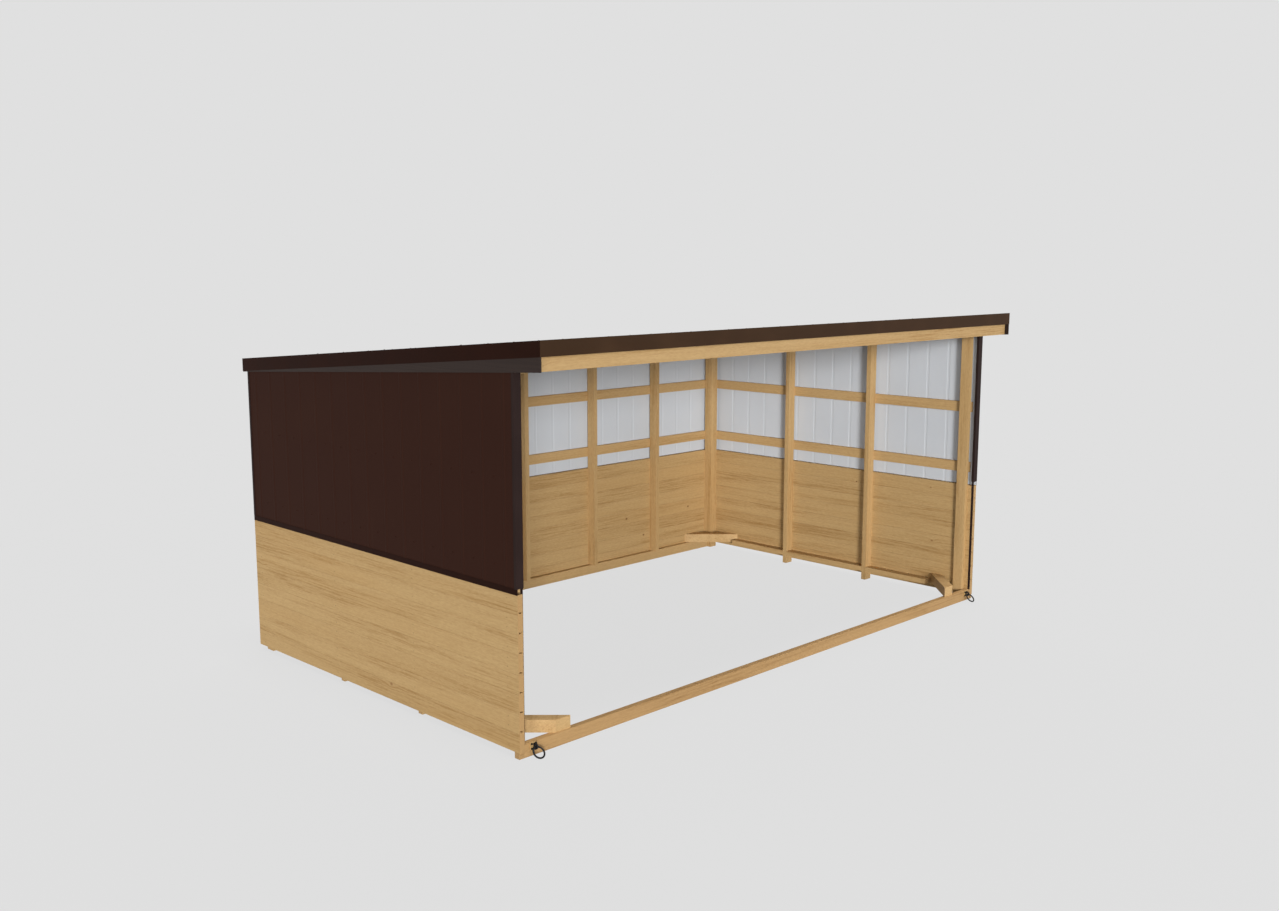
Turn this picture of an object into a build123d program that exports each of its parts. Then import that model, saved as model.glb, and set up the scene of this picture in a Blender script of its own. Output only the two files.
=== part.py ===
from build123d import *
import math
import os

os.makedirs("parts", exist_ok=True)

# Mobile loafing shed, open at the front. Millimetres.
# X runs along the front, Y towards the back, Z up. The shed stands on Z = 0 and the
# origin is below the middle of the roof.

# Plan and heights
wall_length = 6008.0        # over the outer faces of the side boards
wall_depth = 3610.0         # from the boards' front ends to the back boards' outer face
ground_clearance = 45.0     # under the boards
roof_overhang_front = 280.0
roof_overhang_back = 62.0
roof_overhang_side = 12.0
roof_slope = 4.78           # degrees, falling to the back
front_clear_height = 2712.0  # ground to the underside of the header

# Tongue and groove boards
board_thickness = 45.0
board_cover = 141.5
board_count = 8
groove_width = 6.0          # the v shaped joint that shows on both faces
groove_depth = 3.0

# Timber
timber_narrow = 50.0
timber_wide = 100.0
lower_girt_above_boards = 132.0
girt_spacing = 612.0
side_stud_start = 1240.0    # from the boards' front ends to the first stud's middle
side_stud_pitch = 1085.0
side_stud_count = 2
back_bays = 6
front_post_setback = 70.0   # from the boards' front ends
header_height = 101.0       # what shows under the roof edge trim
header_setback = 40.0       # behind the roof edge trim's face
front_beam_height = 140.0
ground_beam_setback = 6.0   # from the boards' front ends
side_sill_height = 50.0
side_sill_lift = 45.0       # above the boards' lower edge
brace_reach = 445.0         # along each wall to the brace's long corner
brace_height = 95.0
brace_beam_setback = 15.0   # front brace's end, behind the ground beam's front face
purlin_height = 50.0
purlin_count = 5

# Profiled metal sheet, with low ribs on the walls and high ribs on the roof
sheet_gauge = 1.0
rib_pitch = 240.0
wall_rib_height = 2.0
wall_rib_crest = 20.0
wall_rib_foot = 30.0
roof_rib_height = 18.0
roof_rib_crest = 30.0
roof_rib_foot = 60.0
sheet_end_gap = 4.0         # between the roof sheet's ends and the edge trims

# Flashings
trim_gauge = 1.5
seat_gap = 0.3              # between a flashing and what it is fixed to
edge_trim_height = 109.0    # roof edge trim all round
edge_trim_lap = 60.0        # over the roof sheet
verge_board_taper_end = 5.0  # what shows of the verge board at the back, below the edge trim
drip_height = 40.0          # above the boards
drip_lap = 3.0              # over the boards
corner_trim_leg = 25.0
corner_trim_proud = 8.0     # above the boards on both sides

# Towing eyes and rings
ring_diameter = 100.0       # over the outside
ring_wire = 13.0
ring_sides = 12             # of the wire's section
ring_play = 0.9             # between the ring and the eye that it hangs in
ring_floor_gap = 0.3
eye_thickness = 12.0
eye_rim = 9.0               # around the eye's hole
eye_opening = 26.0
eye_inset = 80.0            # eye's middle from the side boards' inner face
eye_plate_width = 60.0
eye_plate_height = 56.0
eye_plate_thickness = 8.0
eye_plate_corner = 6.0

# Places worked out from the sizes above
half_length = wall_length / 2
inner_x = half_length - board_thickness
roof_depth = roof_overhang_front + wall_depth + roof_overhang_back
roof_front = -roof_depth / 2
roof_back = roof_depth / 2
half_roof = half_length + roof_overhang_side
wall_front = roof_front + roof_overhang_front
wall_back = wall_front + wall_depth
inner_back = wall_back - board_thickness
board_top = ground_clearance + board_count * board_cover
edge_trim_low = front_clear_height + header_height
slope = math.tan(math.radians(roof_slope))
level = math.cos(math.radians(roof_slope))
trim_step = trim_gauge + seat_gap

# Drops below the roof line, which is the top face of the roof edge trim
trim_drop = trim_gauge / level
sheet_drop = trim_step / level
purlin_drop = sheet_drop + (roof_rib_height + sheet_gauge) / level
rafter_drop = purlin_drop + purlin_height / level
ceiling_drop = rafter_drop + timber_wide / level
verge_drop = edge_trim_height / level


def roof_line(y, drop=0.0):
    """Height of a point on the roof at y, a drop below the roof line."""
    return edge_trim_low + edge_trim_height - (y - roof_front) * slope - drop


def save(solid, name):
    """Labels a finished piece and writes it under its own name."""
    solid.label = name
    export_step(solid, f"parts/{name}.step")


def block(x_ends, y_ends, z_ends):
    """Adds an upright block between pairs of coordinates, in any order."""
    x0, x1 = sorted(x_ends)
    y0, y1 = sorted(y_ends)
    z0, z1 = sorted(z_ends)
    with BuildSketch(Plane.XY.offset(z0)) as base:
        with Locations(((x0 + x1) / 2, (y0 + y1) / 2)):
            Rectangle(x1 - x0, y1 - y0)
    extrude(base.sketch, amount=z1 - z0)


def extrude_outline(plane, points, length, mode=Mode.ADD):
    """Extrudes a closed outline of points on a plane along the plane's normal."""
    with BuildSketch(plane) as outline:
        with BuildLine():
            Polyline(*points, close=True)
        make_face()
    extrude(outline.sketch, amount=length, mode=mode)


def side_profile(x_ends, points, mode=Mode.ADD):
    """Extrudes an outline of (y, z) points between two x coordinates."""
    x0, x1 = sorted(x_ends)
    extrude_outline(Plane.YZ.offset(x0), points, x1 - x0, mode)


def front_profile(y_ends, points):
    """Extrudes an outline of (x, z) points between two y coordinates."""
    y0, y1 = sorted(y_ends)
    extrude_outline(Plane.XZ.offset(-y1), points, y1 - y0)


def plan_profile(z_ends, points):
    """Extrudes an outline of (x, y) points between two heights."""
    z0, z1 = sorted(z_ends)
    extrude_outline(Plane.XY.offset(z0), points, z1 - z0)


def under_roof(x_ends, y_ends, bottom, drop):
    """Adds an upright block whose top follows the roof's slope, a drop below the roof line."""
    y0, y1 = sorted(y_ends)
    side_profile(x_ends, [
        (y0, bottom), (y1, bottom), (y1, roof_line(y1, drop)), (y0, roof_line(y0, drop)),
    ])


def along_roof(x_ends, y_ends, top_drop, bottom_drop):
    """Adds a block that follows the roof's slope between two drops below the roof line."""
    y0, y1 = sorted(y_ends)
    side_profile(x_ends, [
        (y0, roof_line(y0, bottom_drop)), (y1, roof_line(y1, bottom_drop)),
        (y1, roof_line(y1, top_drop)), (y0, roof_line(y0, top_drop)),
    ])


def board_section(outer, inward):
    """Section of the stacked boards, (across, height) points with a v at each joint."""
    joints = [ground_clearance + board_cover * k for k in range(1, board_count)]
    inner = outer + inward * board_thickness
    depth = inward * groove_depth
    outer_face = [(outer, ground_clearance)]
    inner_face = [(inner, ground_clearance)]
    for z in joints:
        for face, line, step in ((outer, outer_face, depth), (inner, inner_face, -depth)):
            line += [(face, z - groove_width / 2), (face + step, z), (face, z + groove_width / 2)]
    outer_face.append((outer, board_top))
    inner_face.append((inner, board_top))
    return outer_face + inner_face[::-1]


# Boarded lower walls
for name, side in (("left", -1), ("right", 1)):
    with BuildPart() as side_boards:
        front_profile((wall_front, wall_back), board_section(side * half_length, -side))
    save(side_boards.part, f"{name}_board_wall")
with BuildPart() as back_boards:
    side_profile((-inner_x, inner_x), board_section(wall_back, -1))
save(back_boards.part, "back_board_wall")

# Posts and studs
front_post_y = wall_front + front_post_setback
front_post_back = front_post_y + timber_wide
corner_post_y = inner_back - timber_wide
corner_post_x = inner_x - timber_wide / 2
side_stud_y = [wall_front + side_stud_start + side_stud_pitch * k for k in range(side_stud_count)]
back_pitch = 2 * corner_post_x / back_bays
back_stud_x = [-corner_post_x + back_pitch * k for k in range(1, back_bays)]
half_narrow = timber_narrow / 2
for name, side in (("left", -1), ("right", 1)):
    wall_face = side * inner_x
    stud_face = side * (inner_x - timber_wide)
    post_face = side * (inner_x - timber_narrow)
    with BuildPart() as front_post:
        post_y = (front_post_y, front_post_back)
        under_roof((post_face, wall_face), post_y, ground_clearance, ceiling_drop)
    save(front_post.part, f"{name}_front_post")
    with BuildPart() as corner_post:
        under_roof((stud_face, wall_face), (corner_post_y, inner_back), 0, ceiling_drop)
    save(corner_post.part, f"{name}_corner_post")
    with BuildPart() as studs:
        for y in side_stud_y:
            under_roof((stud_face, wall_face), (y - half_narrow, y + half_narrow), 0, ceiling_drop)
    save(studs.part, f"{name}_studs")
with BuildPart() as back_studs:
    for x in back_stud_x:
        under_roof((x - half_narrow, x + half_narrow), (corner_post_y, inner_back), timber_wide, ceiling_drop)
save(back_studs.part, "back_studs")

# Girts: two rows of rails in the plane of the boards, which carry the sheet so that its ribs
# are flush with the boards
girt_thickness = board_thickness - wall_rib_height - sheet_gauge
lower_girt = board_top + lower_girt_above_boards
girt_rows = [lower_girt, lower_girt + girt_spacing]
girt_face = inner_x + girt_thickness
back_girt_face = inner_back + girt_thickness
for name, side in (("left", -1), ("right", 1)):
    with BuildPart() as girts:
        for z in girt_rows:
            block((side * inner_x, side * girt_face), (front_post_y, inner_back), (z, z + timber_wide))
    save(girts.part, f"{name}_girts")
with BuildPart() as back_girts:
    for z in girt_rows:
        block((-inner_x, inner_x), (inner_back, back_girt_face), (z, z + timber_wide))
save(back_girts.part, "back_girts")

# Ground beam across the opening, its ends notched under the side boards, and the sill that
# the back studs stand on
beam_front = wall_front + ground_beam_setback
beam_back = beam_front + timber_narrow
sill_x = inner_x - timber_wide
with BuildPart() as ground_beam:
    front_profile((beam_front, beam_back), [
        (-half_length, 0), (half_length, 0), (half_length, ground_clearance),
        (inner_x, ground_clearance), (inner_x, timber_wide),
        (-inner_x, timber_wide), (-inner_x, ground_clearance), (-half_length, ground_clearance),
    ])
save(ground_beam.part, "front_ground_beam")
with BuildPart() as back_sill:
    block((-sill_x, sill_x), (inner_back - timber_narrow, inner_back), (0, timber_wide))
save(back_sill.part, "back_sill")

# Braces flat across the four floor corners, mitred to the walls
brace_mitre = timber_wide * math.sqrt(2)
brace_front_line = beam_front + brace_beam_setback
brace_z = (timber_wide, timber_wide + brace_height)
for row, corner_y, inwards in (("front", brace_front_line, 1), ("back", inner_back, -1)):
    with BuildPart() as braces:
        for side in (-1, 1):
            corner_x = side * inner_x
            plan_profile(brace_z, [
                (corner_x, corner_y + inwards * brace_reach),
                (corner_x, corner_y + inwards * (brace_reach - brace_mitre)),
                (corner_x - side * (brace_reach - brace_mitre), corner_y),
                (corner_x - side * brace_reach, corner_y),
            ])
    save(braces.part, f"{row}_corner_braces")

# Side sills between the braces and the studs
sill_low = ground_clearance + side_sill_lift
sill_ends = [brace_front_line + brace_reach]
for y in side_stud_y:
    sill_ends += [y - half_narrow, y + half_narrow]
sill_ends.append(inner_back - brace_reach)
for name, side in (("left", -1), ("right", 1)):
    with BuildPart() as sill:
        for y_ends in zip(sill_ends[::2], sill_ends[1::2]):
            block((side * sill_x, side * inner_x), y_ends, (sill_low, sill_low + side_sill_height))
    save(sill.part, f"{name}_sill")

# Header under the roof's front edge, and the beam behind it between the front posts
header_front = roof_front + header_setback
header_back = header_front + timber_narrow
with BuildPart() as header:
    under_roof((-half_length, half_length), (header_front, header_back), front_clear_height, rafter_drop)
save(header.part, "front_header")
front_beam_x = inner_x - timber_narrow
front_beam_back = front_post_y + timber_narrow
front_beam_low = roof_line(front_beam_back, rafter_drop) - front_beam_height
with BuildPart() as front_beam:
    under_roof((-front_beam_x, front_beam_x), (front_post_y, front_beam_back), front_beam_low, rafter_drop)
save(front_beam.part, "front_beam")

# Rafters: one over each side wall, and one over each back stud that the front beam parts
with BuildPart() as rafters:
    for side in (-1, 1):
        along_roof(
            (side * front_beam_x, side * inner_x), (header_back, back_girt_face),
            rafter_drop, ceiling_drop,
        )
    for x in back_stud_x:
        for y_ends in ((header_back, front_post_y), (front_beam_back, back_girt_face)):
            along_roof((x - half_narrow, x + half_narrow), y_ends, rafter_drop, ceiling_drop)
save(rafters.part, "rafters")

# Purlins on the rafters, the first and last of them backing the roof edge trim
purlin_first = roof_front + trim_step
purlin_last = roof_back - trim_step - timber_wide
with BuildPart() as purlins:
    for k in range(purlin_count):
        y = purlin_first + (purlin_last - purlin_first) * k / (purlin_count - 1)
        along_roof((-half_length, half_length), (y, y + timber_wide), purlin_drop, rafter_drop)
save(purlins.part, "purlins")


wall_rib = (wall_rib_height, wall_rib_crest, wall_rib_foot)
roof_rib = (roof_rib_height, roof_rib_crest, roof_rib_foot)


def ribbed_outline(start, end, rib):
    """Outline of a sheet with trapezoid ribs, (along, height) points from its back face."""
    rib_height, rib_crest, rib_foot = rib
    count = int((end - start - rib_foot) / rib_pitch) + 1
    first = (start + end) / 2 - rib_pitch * (count - 1) / 2
    face = [(start, sheet_gauge)]
    for k in range(count):
        middle = first + rib_pitch * k
        face += [
            (middle - rib_foot / 2, sheet_gauge),
            (middle - rib_crest / 2, rib_height + sheet_gauge),
            (middle + rib_crest / 2, rib_height + sheet_gauge),
            (middle + rib_foot / 2, sheet_gauge),
        ]
    face.append((end, sheet_gauge))
    return face + [(along, height - sheet_gauge) for along, height in reversed(face)]


# Profiled cladding above the boards, on the drip trims' flanges, its top cut to the roof's
# slope on the sides
cladding_low = board_top + trim_step + seat_gap
roof_top = roof_line(roof_front)
for name, side in (("left", -1), ("right", 1)):
    with BuildPart() as cladding:
        outline = ribbed_outline(wall_front + trim_step, wall_back - seat_gap, wall_rib)
        plan_profile(
            (cladding_low, roof_top), [(side * (girt_face + height), along) for along, height in outline],
        )
        side_profile((-half_roof, half_roof), [
            (roof_front, roof_line(roof_front, rafter_drop)), (roof_back, roof_line(roof_back, rafter_drop)),
            (roof_back, roof_top + timber_wide), (roof_front, roof_top + timber_wide),
        ], mode=Mode.SUBTRACT)
    save(cladding.part, f"{name}_cladding")
with BuildPart() as back_cladding:
    outline = ribbed_outline(seat_gap - girt_face, girt_face - seat_gap, wall_rib)
    plan_profile(
        (cladding_low, roof_line(wall_back, rafter_drop)),
        [(along, back_girt_face + height) for along, height in outline],
    )
save(back_cladding.part, "back_cladding")

# Roof sheet on the purlins, its ribs running down the slope
sheet_front = roof_front + trim_step + sheet_end_gap
sheet_run = (roof_depth - 2 * (trim_step + sheet_end_gap)) / level
roof_end = Plane(
    origin=(0, sheet_front, roof_line(sheet_front, purlin_drop)),
    x_dir=(1, 0, 0), z_dir=(0, -level, slope * level),
)
with BuildPart() as roof_sheet:
    extrude_outline(roof_end, ribbed_outline(-half_length, half_length, roof_rib), -sheet_run)
save(roof_sheet.part, "roof_sheet")

# Roof edge trim: an angle along the front and the back, and one down each verge
front_lap_end = roof_front + edge_trim_lap
with BuildPart() as front_trim:
    along_roof((-half_roof, half_roof), (roof_front, front_lap_end), 0, trim_drop)
    under_roof((-half_roof, half_roof), (roof_front, roof_front + trim_gauge), edge_trim_low, trim_drop)
save(front_trim.part, "front_edge_trim")
back_lap_end = roof_back - edge_trim_lap
back_trim_low = roof_line(roof_back) - edge_trim_height
with BuildPart() as back_trim:
    along_roof((-half_roof, half_roof), (back_lap_end, roof_back), 0, trim_drop)
    under_roof((-half_roof, half_roof), (roof_back - trim_gauge, roof_back), back_trim_low, trim_drop)
save(back_trim.part, "back_edge_trim")
for name, side in (("left", -1), ("right", 1)):
    outer = side * half_roof
    lap_y = (front_lap_end + seat_gap, back_lap_end - seat_gap)
    leg_y = (roof_front + trim_step, roof_back - trim_step)
    with BuildPart() as verge_trim:
        along_roof((outer - side * edge_trim_lap, outer), lap_y, 0, trim_drop)
        along_roof((outer - side * trim_gauge, outer), leg_y, trim_drop, verge_drop)
    save(verge_trim.part, f"{name}_verge_trim")

# Tapered boards under the verges, which cover the top of the side cladding
verge_front = roof_front + trim_step
verge_back = roof_back - trim_step
verge_back_low = roof_line(verge_back, verge_drop) - verge_board_taper_end


def verge_board_low(y):
    """Height of the verge board's lower edge at y."""
    share = (y - verge_front) / (verge_back - verge_front)
    return front_clear_height + (verge_back_low - front_clear_height) * share


for name, side in (("left", -1), ("right", 1)):
    with BuildPart() as verge_board:
        side_profile((side * (half_length + seat_gap), side * (half_roof - trim_step)), [
            (verge_front, front_clear_height),
            (verge_back, verge_back_low),
            (verge_back, roof_line(verge_back, purlin_drop)),
            (verge_front, roof_line(verge_front, purlin_drop)),
        ])
    save(verge_board.part, f"{name}_verge_board")

# Drip trims where the sheet meets the boards: a face outside, and a flange on the boards
drip_z = (board_top - drip_lap, board_top + drip_height)
flange_z = (board_top + seat_gap, board_top + trim_step)
for name, side in (("left", -1), ("right", 1)):
    with BuildPart() as drip:
        drip_x = side * (half_length + trim_step)
        block((side * (half_length + seat_gap), drip_x), (wall_front, wall_back), drip_z)
        block((side * (girt_face + seat_gap), drip_x), (wall_front + trim_step, wall_back), flange_z)
    save(drip.part, f"{name}_drip_trim")
with BuildPart() as back_drip:
    drip_y = wall_back + trim_step
    block((-half_length, half_length), (wall_back + seat_gap, drip_y), drip_z)
    block((-girt_face, girt_face), (back_girt_face + seat_gap, drip_y), flange_z)
save(back_drip.part, "back_drip_trim")

# Channels over the front ends of the side cladding, each with a strip that runs on down the
# boards' inner face
corner_low = drip_z[1] + seat_gap
trim_leg_y = (wall_front, wall_front + corner_trim_leg)
outer_top = verge_board_low(trim_leg_y[1]) - seat_gap
inner_top = roof_line(trim_leg_y[1], ceiling_drop)
for name, side in (("left", -1), ("right", 1)):
    strip = side * (inner_x - seat_gap)
    inner = strip - side * corner_trim_proud
    outer = side * (half_length + seat_gap + corner_trim_proud)
    with BuildPart() as corner_trim:
        block((inner, outer), (wall_front, wall_front + trim_gauge), (corner_low, outer_top))
        block((outer, outer + side * trim_gauge), trim_leg_y, (corner_low, outer_top))
        block((inner, inner - side * trim_gauge), trim_leg_y, (corner_low, inner_top))
        block((inner, strip), trim_leg_y, (corner_low, corner_low + trim_gauge))
        block(
            (strip, strip - side * trim_gauge), trim_leg_y,
            (timber_wide + seat_gap, corner_low + trim_gauge),
        )
    save(corner_trim.part, f"{name}_front_corner_trim")
with BuildPart() as back_corner_trims:
    trim_far_y = wall_back + trim_step
    trim_z = (corner_low, verge_board_low(trim_far_y) - seat_gap)
    for side in (-1, 1):
        outer = side * (half_length + seat_gap)
        trim_far_x = side * (half_length + trim_step)
        block((outer, trim_far_x), (wall_back - corner_trim_leg, trim_far_y), trim_z)
        block((outer - side * corner_trim_leg, outer), (wall_back + seat_gap, trim_far_y), trim_z)
save(back_corner_trims.part, "back_corner_trims")

# Towing eyes bolted to the ends of the ground beam, each holding a loose ring that leans
# forward with its lower end at the ground
eye_x = inner_x - eye_inset
eye_height = timber_wide - eye_plate_height / 2
eye_radius = eye_opening / 2 + eye_rim
plate_front = beam_front - eye_plate_thickness
eye_y = plate_front - eye_opening / 2 - ring_wire / 2
ring_radius = (ring_diameter - ring_wire) / 2
ring_hang = (eye_opening - ring_wire) / 2 - ring_play
ring_middle = ring_hang + ring_radius
ring_lean = math.acos((eye_height - ring_wire / 2 - ring_floor_gap) / (ring_middle + ring_radius))
lean_sin = math.sin(ring_lean)
lean_cos = math.cos(ring_lean)
for name, side in (("left", -1), ("right", 1)):
    x = side * eye_x
    with BuildPart() as tow_eye:
        with BuildSketch(Plane.XZ.offset(-beam_front)) as plate:
            with Locations((x, eye_height)):
                RectangleRounded(eye_plate_width, eye_plate_height, eye_plate_corner)
        extrude(plate.sketch, amount=eye_plate_thickness)
        with BuildSketch(Plane.YZ.offset(x - eye_thickness / 2)) as lug:
            with Locations((eye_y, eye_height)):
                Circle(eye_radius)
            with Locations(((eye_y + plate_front) / 2, eye_height)):
                Rectangle(plate_front - eye_y, 2 * eye_radius)
            with Locations((eye_y, eye_height)):
                Circle(eye_opening / 2, mode=Mode.SUBTRACT)
        extrude(lug.sketch, amount=eye_thickness)
    save(tow_eye.part, f"{name}_tow_eye")
    ring_centre = (x, eye_y - lean_sin * ring_middle, eye_height - lean_cos * ring_middle)
    section_centre = (x, eye_y - lean_sin * ring_hang, eye_height - lean_cos * ring_hang)
    with BuildPart() as tow_ring:
        with BuildSketch(Plane(origin=section_centre, x_dir=(0, 1, 0), z_dir=(1, 0, 0))) as wire:
            RegularPolygon(ring_wire / 2, ring_sides)
        revolve(wire.sketch, axis=Axis(ring_centre, (0, lean_cos, -lean_sin)))
    save(tow_ring.part, f"{name}_tow_ring")
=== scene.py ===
"""A mobile loafing shed: timber frame, grooved boards, coated sheet and towing rings."""
import math
import random

import bmesh
import bpy
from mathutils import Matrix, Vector


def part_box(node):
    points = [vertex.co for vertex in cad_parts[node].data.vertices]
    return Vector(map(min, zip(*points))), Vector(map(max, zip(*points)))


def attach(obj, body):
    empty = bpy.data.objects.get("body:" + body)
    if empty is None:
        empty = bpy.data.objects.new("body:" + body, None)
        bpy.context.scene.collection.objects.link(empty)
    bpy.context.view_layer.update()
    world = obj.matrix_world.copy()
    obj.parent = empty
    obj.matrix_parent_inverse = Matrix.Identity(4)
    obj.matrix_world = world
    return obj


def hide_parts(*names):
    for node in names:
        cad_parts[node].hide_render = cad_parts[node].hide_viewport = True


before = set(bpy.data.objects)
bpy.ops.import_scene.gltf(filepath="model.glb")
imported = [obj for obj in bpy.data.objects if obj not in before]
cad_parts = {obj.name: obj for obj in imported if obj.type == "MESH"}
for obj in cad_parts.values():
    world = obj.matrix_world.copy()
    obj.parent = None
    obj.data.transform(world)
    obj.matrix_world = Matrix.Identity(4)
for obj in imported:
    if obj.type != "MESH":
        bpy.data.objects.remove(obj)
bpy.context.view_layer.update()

# The photograph's frame, and the camera that took it
PHOTO_WIDTH = 1279
FOCAL_PIXELS = 1260.7
CAMERA_PLACE = (-8.3146, -8.1617, 3.4292)
CAMERA_YAW = 45.086     # degrees from +Y towards +X
CAMERA_PITCH = -8.795   # degrees above the horizon
SENSOR_WIDTH = 36.0

# Boards, in metres
BOARD_COUNT = 8
JOINT_CHAMFER = 0.0012
JOINT_GAP = 0.0004
TONGUE_WIDTH = 0.028
TONGUE_HEIGHT = 0.009
GROOVE_CLEARANCE = 0.011    # left in the groove beyond the tongue
BOARD_END_SPREAD = 0.0015   # how much one board may be shorter than another
ALONG_X = 0
ALONG_Y = 1

# Timber
TIMBER_NARROW = 0.05
TIMBER_WIDE = 0.1
BACK_STUD_COUNT = 5
PURLIN_COUNT = 5

# Profiled sheet
RIB_PITCH = 0.24
WALL_RIB_FOOT = 0.03
ROOF_RIB_FOOT = 0.06
SHEET_GAUGE = 0.001
ROOF_SLOPE = 4.78       # degrees, falling to the back

# Towing eyes, and their rings, which lean from straight down towards the front
EYE_PLATE_THICKNESS = 0.008
PLATE_EDGE = 0.0003     # how far before its front face the plate's finish begins
BOLT_SPREAD = (0.019, 0.018)
RING_OUTER = 0.1
RING_WIRE = 0.013
RING_LEAN = 45.24       # degrees
RING_STEPS = 72
WIRE_STEPS = 20

# Screws and bolts: a head on a washer
SHEET_SCREW = {
    "Head Radius": 0.004, "Head Height": 0.004, "Washer Radius": 0.007, "Washer Height": 0.0015,
}
ROOF_SCREW = {
    "Head Radius": 0.0046, "Head Height": 0.004, "Washer Radius": 0.0095, "Washer Height": 0.0015,
}
TIMBER_SCREW = {
    "Head Radius": 0.0032, "Head Height": 0.0003, "Washer Radius": 0.0044, "Washer Height": 0.0005,
}
EYE_BOLT = {
    "Head Radius": 0.0065, "Head Height": 0.005, "Washer Radius": 0.0085, "Washer Height": 0.0016,
}
WASHER_SIDES = 16
HEXAGON = 6
ROUND_HEAD_SIDES = 12
SCREW_TURN_SEED = 5
BOARD_SCREW_SHARES = (0.28, 0.74)   # heights of a board's two screws, as shares of its cover

# Colours as they look in even light, 0 to 255
BOARD_PALE = (193, 161, 112)
BOARD_DEEP = (157, 121, 72)
TIMBER_PALE = (195, 162, 113)
TIMBER_DEEP = (160, 123, 74)
# Painted shade: the ground beam's pine is darker than the other timber, to offset the stronger light on
# its front face
BEAM_PALE_PAINTED_SHADE = (178, 143, 97)
BEAM_DEEP_PAINTED_SHADE = (142, 107, 64)
WARM_PATCH = (186, 148, 95)
KNOT_BROWN = (104, 66, 36)
KNOT_RIM = (134, 92, 52)
END_GRAIN = (176, 142, 96)
END_GRAIN_RING = (140, 103, 62)
SHEET_BROWN = (49, 28, 21)
SHEET_BROWN_CLOUD = (54, 33, 25)
SHEET_RAIN_MARK = (62, 43, 34)
SHEET_GREY = (201, 205, 210)
SHEET_GREY_CLOUD = (195, 199, 204)
FASCIA_BROWN = (56, 39, 26)
VERGE_BROWN = (33, 14, 7)
CORNER_BROWN = (42, 31, 29)
DARK_BOARD = (38, 25, 19)
DARK_BOARD_STREAK = (34, 22, 17)
STEEL_BLACK = (18, 18, 19)
STEEL_WORN = (70, 67, 64)
ZINC_YELLOW = (168, 142, 92)
PLATE_YELLOW = (176, 145, 96)
BACKGROUND_GREY = (224, 224, 224)

# Softwood's figure, in repeats per metre along the grain, across it and into the piece
DRIFT = (0.9, 3.0, 3.0)         # slow waver of the grain
BAND = (0.4, 6.5, 6.5)          # broad bands with more streaks
STREAK = (2.4, 75.0, 60.0)
BREAK = (14.0, 90.0, 60.0)      # where a streak fades for a while
MOTTLE = (26.0, 120.0, 90.0)
FIBRE = (9.0, 620.0, 420.0)
YEAR_RING = (0.25, 48.0, 30.0)
WARMTH = (0.4, 2.3, 2.3)
WAVER = 0.02                    # metres that the grain strays, by drift and round a knot

# Where a noise, which runs from 0 to 1, begins to show as a mark, and where it shows fully
BAND_EDGES = (0.42, 0.62)
STREAK_EDGES = (0.44, 0.66)
WARM_EDGES = (0.5, 0.75)
LATE_WOOD_SHARPNESS = 14.0
STREAK_LEAST = 0.2              # strength of a streak outside the bands, and where it fades
STREAK_IN_BAND = 0.75
STREAK_UNBROKEN = 1.6

# How far each mark takes the colour from pale, 0, to deep, 1
BASE_DEPTH = 0.13
STREAK_DEPTH = 0.46
BAND_DEPTH = 0.13
LATE_WOOD_DEPTH = 0.12
ROW_DEPTH = 0.18
FIBRE_DEPTH = 0.3
MOTTLE_DEPTH = 0.7
WARM_SHARE = 0.3
KNOT_RIM_SHARE = 0.55
KNOT_SHARE = 0.8

# Knots: one chance in each cell of a loose lattice
KNOT_CELLS = (2.1, 5.0, 5.0)    # cells per metre
KNOT_MEASURE = (2.9, 5.0, 5.0)  # cells back to metres, with knots 1.4 times as long as wide
KNOT_ABSENT = 0.62
KNOT_LEAST_RADIUS = 0.005
KNOT_RADIUS_SPREAD = 0.010
KNOT_EDGES = (0.65, 1.0)        # radii over which the knot's brown fades out
KNOT_RIM_EDGES = (0.05, 0.35)   # the same for its rim, measured from one radius
KNOT_SWIRL = 5.0                # radii over which the grain bends round a knot

# Each board row takes its wood from another place
ROW_STEP = 1.37
ROW_START = 3.1
ROW_SHIFT = 17.0                # metres along the grain

# Sawn ends: growth rings about a heart beside the piece
HEART_ACROSS = 0.31
HEART_INTO = 0.17
END_RING_WAVES = 1250.0         # radians per metre
END_RING_WAVER = 4.0
END_RING_EDGES = (-0.2, 1.0)
END_RING_SHARE = 0.55
END_FACE_EDGES = (0.8, 0.95)    # how squarely a face must cross the grain

# Coatings and stain: repeats per metre in x, y and z, and depths of relief in metres
INWARD_LEAST = 0.2              # how squarely a sheet's grey face must look inward
RAIN_MARKS = (26.0, 26.0, 1.1)
STAIN_STREAK = (60.0, 1.4, 90.0)
ORANGE_PEEL = 900.0
GRAIN_RELIEF = 0.0005
PEEL_RELIEF = 0.00015
PAINT_RELIEF = 0.0002

# Light: a uniform sky and soft lamps, each with its direction, share and width in degrees
SKY_LEVEL = 0.13
LAMPS = (
    ("lamp_front_left", -38.0, 6.0, 0.85, 12.0),
    ("lamp_left", -58.0, 6.0, 0.21, 12.0),
    ("lamp_front_right", 42.0, 9.0, 0.14, 24.0),
    ("lamp_back_right", 130.0, 28.0, 0.75, 60.0),
    ("lamp_back_left", -140.0, 30.0, 0.03, 60.0),
    ("lamp_above", 0.0, 81.0, 0.95, 20.0),
)
FLOOR_HALF_WIDTH = 40.0
FLOOR_DROP = 0.0005         # keeps the floor clear of the faces that stand on it
FLOOR_FADE = (7.0, 15.0)    # metres from the middle, over which the floor clears
FLOOR_KEEPS = 0.12          # how much of the floor's brightness follows the light
FLOOR_WHITENESS = 0.24
FLOOR_LIFT = 1.065          # brings the open floor back to the background's grey


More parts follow.
